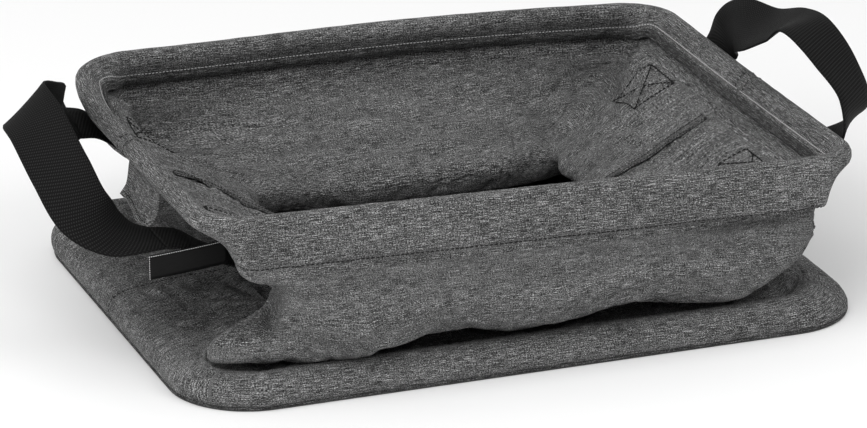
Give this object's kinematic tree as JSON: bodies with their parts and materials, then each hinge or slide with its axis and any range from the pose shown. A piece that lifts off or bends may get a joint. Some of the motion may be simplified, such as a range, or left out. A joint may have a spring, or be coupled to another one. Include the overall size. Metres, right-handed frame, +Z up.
{
  "type": "laundry bag",
  "caption": "Collapsible rectangular laundry bag in grey mottled canvas with a stiff base, a wire-framed rim, folding end walls and a webbing handle at each end.",
  "frame": {"origin": "middle of the underside of the base, on the surface that the bag stands on", "axes": "+X along the long side towards the right-hand handle, +Y towards the back wall, +Z up"},
  "size_m": [0.5882, 0.3721, 0.1757],
  "materials": {
    "canvas": "plain-woven grey melange canvas, matt",
    "lining": "grey woven tape and lining, matt",
    "binding": "dark grey woven binding, matt",
    "webbing": "black ribbed polypropylene webbing, slight sheen",
    "label": "black woven satin label, plain",
    "steel": "drawn steel wire",
    "board": "hardboard, sanded"
  },
  "bodies": {
    "base": {"base_bottom_cover": "canvas", "base_board": "board", "base_floor_lining": "lining", "base_piping": "binding", "front_wall_lower": "canvas", "back_wall_lower": "canvas", "left_seam_tape_lower": "lining", "right_seam_tape_lower": "lining"},
    "rim": {"rim_hem_front": "canvas", "rim_hem_back": "canvas", "hem_binding_front": "binding", "hem_binding_back": "binding", "rim_wire_front": "steel", "rim_wire_back": "steel", "wire_ferrule_left": "steel", "wire_ferrule_right": "steel", "front_wall_upper": "canvas", "back_wall_upper": "canvas", "left_seam_tape_upper": "lining", "right_seam_tape_upper": "lining", "left_strap_end_front": "webbing", "left_strap_end_back": "webbing", "right_strap_end_front": "webbing", "right_strap_end_back": "webbing", "side_label": "label"},
    "left_handle": {"left_handle": "webbing"},
    "right_handle": {"right_handle": "webbing"}
  },
  "joints": [
    {"name": "rim_lift", "type": "slide", "parent": "base", "child": "rim", "axis": [0, 0, 1], "range_m": [-0.05, 0.155], "deforming": ["front_wall_lower", "back_wall_lower", "left_seam_tape_lower", "right_seam_tape_lower", "front_wall_upper", "back_wall_upper", "left_seam_tape_upper", "right_seam_tape_upper"]},
    {"name": "left_handle_swing", "type": "hinge", "parent": "rim", "child": "left_handle", "pos_m": [-0.2345, 0.0035, 0.1015], "axis": [-0.0166, 0.9931, 0.1165], "range_deg": [-60, 30]},
    {"name": "right_handle_swing", "type": "hinge", "parent": "rim", "child": "right_handle", "pos_m": [0.238, 0, 0.1], "axis": [-0.0215, 0.9998, 0], "range_deg": [-10, 60]}
  ]
}
